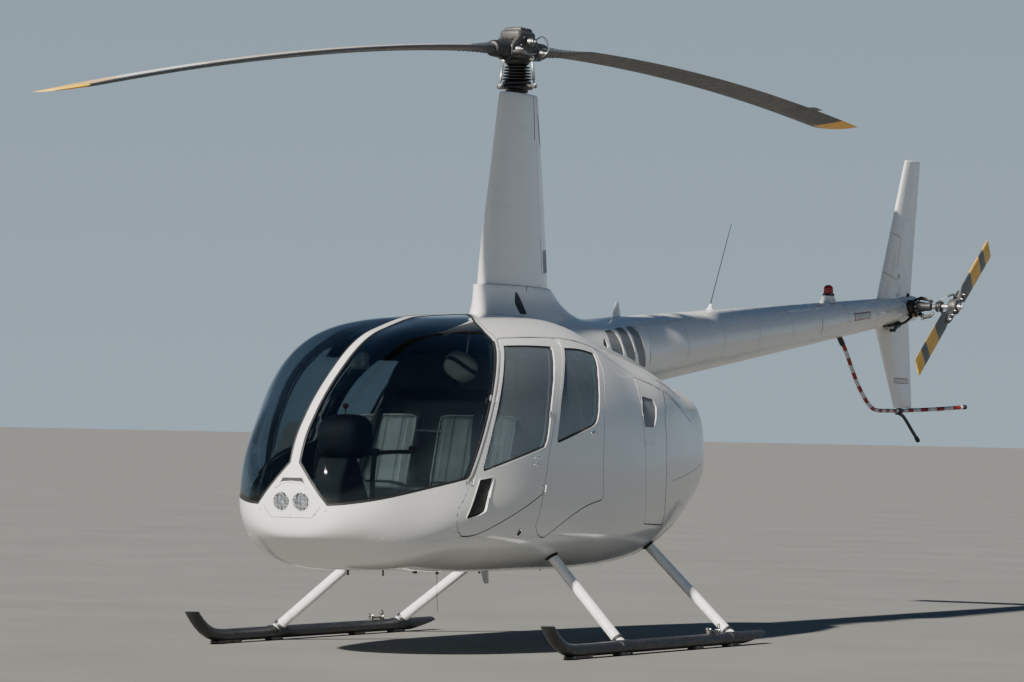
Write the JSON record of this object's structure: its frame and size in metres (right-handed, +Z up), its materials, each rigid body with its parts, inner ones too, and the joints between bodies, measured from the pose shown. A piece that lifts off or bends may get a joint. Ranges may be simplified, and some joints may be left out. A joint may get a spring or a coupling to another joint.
{
  "type": "light turbine helicopter",
  "caption": "White light helicopter on skids with a glazed cabin, opening doors, a tall mast fairing, a see-saw main rotor and a tail rotor on a slender boom.",
  "frame": {"origin": "ground level under the middle of the whole length, on the centre plane", "axes": "+Z up, -Y towards the nose, +Y towards the tail, +X towards the machine's left side"},
  "size_m": [2.24, 11.5338, 3.502],
  "materials": {
    "white_paint": "gloss",
    "window_glass": "gloss",
    "lamp_glass": "gloss",
    "cabin_trim": "matte",
    "grey_leather": "satin",
    "grey_fabric": "matte",
    "engine_metal": "matte",
    "exhaust_steel": "matte",
    "rotor_steel": "satin",
    "blade_paint": "satin",
    "striped_blade_paint": "satin",
    "red_white_paint": "satin",
    "dark_steel": "satin",
    "red_lens": "gloss"
  },
  "bodies": {
    "airframe": {"cabin_frame": "white_paint", "lower_fuselage": "white_paint", "aft_fuselage": "white_paint", "rear_cowl": "white_paint", "mast_fairing": "white_paint", "roof_fairing": "white_paint", "tail_boom": "white_paint", "tail_gearbox": "white_paint", "upper_fin": "white_paint", "lower_fin": "white_paint", "horizontal_stabilizer": "white_paint", "leg_front_left": "white_paint", "leg_front_right": "white_paint", "leg_rear_left": "white_paint", "leg_rear_right": "white_paint", "windshield_left": "window_glass", "windshield_right": "window_glass", "landing_light_unit": "lamp_glass", "instrument_console": "cabin_trim", "cyclic_control": "cabin_trim", "front_seat_base": "grey_leather", "front_seat_pad_left": "grey_leather", "front_seat_pad_right": "grey_leather", "rear_seat_base": "grey_leather", "rear_seat_pad": "grey_leather", "cabin_floor": "grey_fabric", "rear_bulkhead": "grey_fabric", "engine_block": "engine_metal", "exhaust_pipe": "exhaust_steel", "tail_guard": "red_white_paint", "skid_left": "dark_steel", "skid_right": "dark_steel", "tail_skid": "dark_steel", "beacon": "red_lens"},
    "front_door_left": {"front_door_left": "white_paint", "front_window_left": "window_glass"},
    "front_door_right": {"front_door_right": "white_paint", "front_window_right": "window_glass"},
    "rear_door_left": {"rear_door_left": "white_paint", "rear_window_left": "window_glass"},
    "rear_door_right": {"rear_door_right": "white_paint", "rear_window_right": "window_glass"},
    "cowl_door_left": {"cowl_door_left": "white_paint"},
    "cowl_door_right": {"cowl_door_right": "white_paint"},
    "main_rotor": {"rotor_mast": "rotor_steel", "swashplate": "rotor_steel", "rotor_hub": "rotor_steel", "main_blade_forward": "blade_paint", "main_blade_aft": "blade_paint"},
    "tail_rotor": {"tail_rotor_hub": "rotor_steel", "tail_rotor_blade_upper": "striped_blade_paint", "tail_rotor_blade_lower": "striped_blade_paint"}
  },
  "joints": [
    {"name": "front_door_left_hinge", "type": "hinge", "parent": "airframe", "child": "front_door_left", "pos_m": [0.668, -2.5016, 0.88], "axis": [-0.0419, -0.4307, -0.9015], "range_deg": [0, 60]},
    {"name": "rear_door_left_hinge", "type": "hinge", "parent": "airframe", "child": "rear_door_left", "pos_m": [0.749, -1.7806, 0.88], "axis": [0.0035, -0.2425, -0.9701], "range_deg": [0, 60]},
    {"name": "cowl_door_left_hinge", "type": "hinge", "parent": "airframe", "child": "cowl_door_left", "pos_m": [0.706, -0.3966, 1.1], "axis": [0, 0, -1], "range_deg": [0, 90]},
    {"name": "front_door_right_hinge", "type": "hinge", "parent": "airframe", "child": "front_door_right", "pos_m": [-0.668, -2.5016, 0.88], "axis": [-0.0419, 0.4307, 0.9015], "range_deg": [0, 60]},
    {"name": "rear_door_right_hinge", "type": "hinge", "parent": "airframe", "child": "rear_door_right", "pos_m": [-0.749, -1.7806, 0.88], "axis": [0.0035, 0.2425, 0.9701], "range_deg": [0, 60]},
    {"name": "cowl_door_right_hinge", "type": "hinge", "parent": "airframe", "child": "cowl_door_right", "pos_m": [-0.706, -0.3966, 1.1], "axis": [0, 0, 1], "range_deg": [0, 90]},
    {"name": "main_rotor_spin", "type": "hinge", "parent": "airframe", "child": "main_rotor", "pos_m": [0, -0.7346, 3], "axis": [0, 0, 1], "continuous": true},
    {"name": "tail_rotor_spin", "type": "hinge", "parent": "airframe", "child": "tail_rotor", "pos_m": [0.412, 5.1004, 2.1], "axis": [1, 0, 0], "continuous": true}
  ]
}
